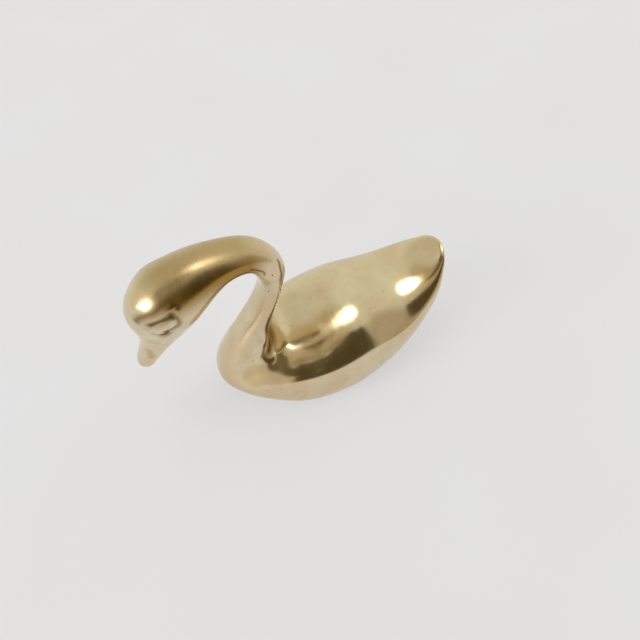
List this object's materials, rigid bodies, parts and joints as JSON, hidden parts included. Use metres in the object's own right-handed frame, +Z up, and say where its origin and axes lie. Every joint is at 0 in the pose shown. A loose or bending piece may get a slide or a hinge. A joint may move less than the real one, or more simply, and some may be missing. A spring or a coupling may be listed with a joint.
{
  "type": "brass swan figurine",
  "caption": "Small polished brass swan with a long arched neck, a bowed head and an upturned tail, hollow cast and open under its flat ground foot.",
  "frame": {"origin": "in the plane of the flat foot, under the middle of the whole figurine", "axes": "+Z up, the swan faces -Y, its left side is +X"},
  "size_m": [0.0368, 0.0824, 0.0483],
  "materials": {
    "cast_brass": "sand cast, filed and buffed to a soft bright polish",
    "turned_brass": "machined, unpolished"
  },
  "bodies": {
    "root": {"body_shell": "cast_brass", "neck_and_head": "cast_brass", "neck_screw": "turned_brass", "screw_washer": "turned_brass"}
  },
  "joints": []
}
